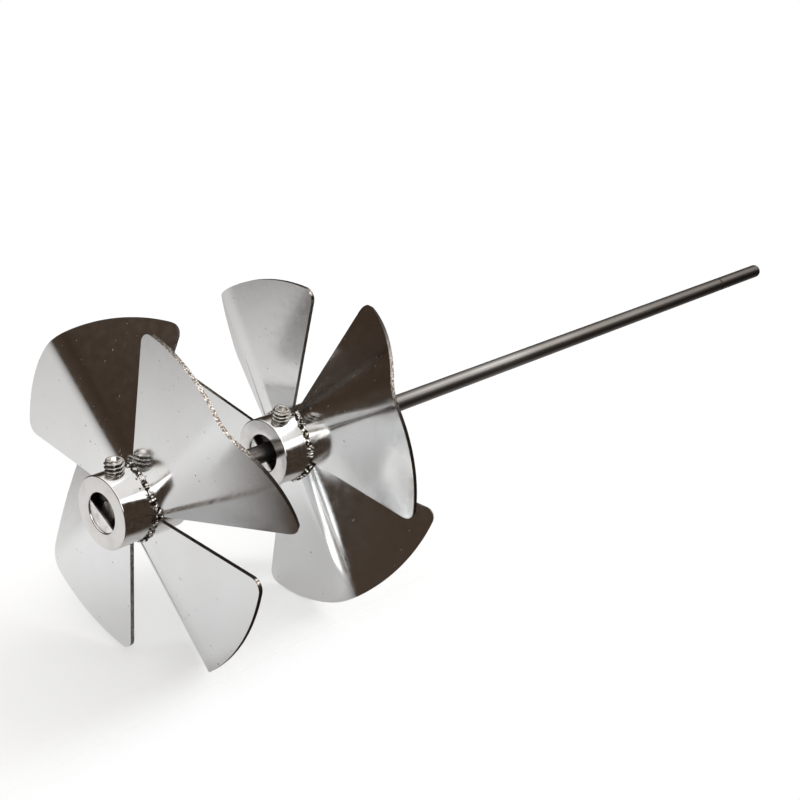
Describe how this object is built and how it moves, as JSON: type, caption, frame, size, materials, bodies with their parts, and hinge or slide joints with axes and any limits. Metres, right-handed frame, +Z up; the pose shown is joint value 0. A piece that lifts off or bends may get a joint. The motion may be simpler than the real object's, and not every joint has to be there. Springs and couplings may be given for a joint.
{
  "type": "mixing shaft",
  "caption": "Straight rod with two opposed four-blade propellers; their hubs slide and turn on it and are locked by set screws. Driven by its bare shank.",
  "frame": {"origin": "middle of the shank, on the rod's axis", "axes": "+X along the rod from the propellers to the shank's free end, +Z up"},
  "size_m": [0.4126, 0.1142, 0.1142],
  "materials": {
    "satin_rod": "satin drawn steel with long fine lines",
    "polished_hub": "bright plated, turned and polished",
    "polished_blade": "bright plated sheet with a fine speckle and scratches",
    "bright_bush": "bright turned steel",
    "weld_bead": "rippled weld bead, plated over",
    "set_screw": "plated screw thread, dark in the roots"
  },
  "bodies": {
    "shaft": {"shaft_rod": "satin_rod"},
    "front_carrier": {"front_bush": "bright_bush"},
    "rear_carrier": {"rear_bush": "bright_bush"},
    "front_propeller": {"front_hub": "polished_hub", "front_blade_1": "polished_blade", "front_blade_2": "polished_blade", "front_blade_3": "polished_blade", "front_blade_4": "polished_blade", "front_weld_1": "weld_bead", "front_weld_2": "weld_bead", "front_weld_3": "weld_bead", "front_weld_4": "weld_bead"},
    "front_screw": {"front_set_screw": "set_screw"},
    "rear_propeller": {"rear_hub": "polished_hub", "rear_blade_1": "polished_blade", "rear_blade_2": "polished_blade", "rear_blade_3": "polished_blade", "rear_blade_4": "polished_blade", "rear_weld_1": "weld_bead", "rear_weld_2": "weld_bead", "rear_weld_3": "weld_bead", "rear_weld_4": "weld_bead"},
    "rear_screw": {"rear_set_screw": "set_screw"}
  },
  "joints": [
    {"name": "front_slide", "type": "slide", "parent": "shaft", "child": "front_carrier", "axis": [1, 0, 0], "range_m": [-0.012, 0]},
    {"name": "front_turn", "type": "hinge", "parent": "front_carrier", "child": "front_propeller", "pos_m": [0, 0, 0], "axis": [1, 0, 0], "continuous": true},
    {"name": "front_screw_out", "type": "slide", "parent": "front_propeller", "child": "front_screw", "axis": [0, 0, 1], "range_m": [0, 0.005]},
    {"name": "rear_slide", "type": "slide", "parent": "shaft", "child": "rear_carrier", "axis": [1, 0, 0], "range_m": [-0.012, 0.03]},
    {"name": "rear_turn", "type": "hinge", "parent": "rear_carrier", "child": "rear_propeller", "pos_m": [0, 0, 0], "axis": [1, 0, 0], "continuous": true},
    {"name": "rear_screw_out", "type": "slide", "parent": "rear_propeller", "child": "rear_screw", "axis": [0, -0.2419, 0.9703], "range_m": [0, 0.005]}
  ]
}
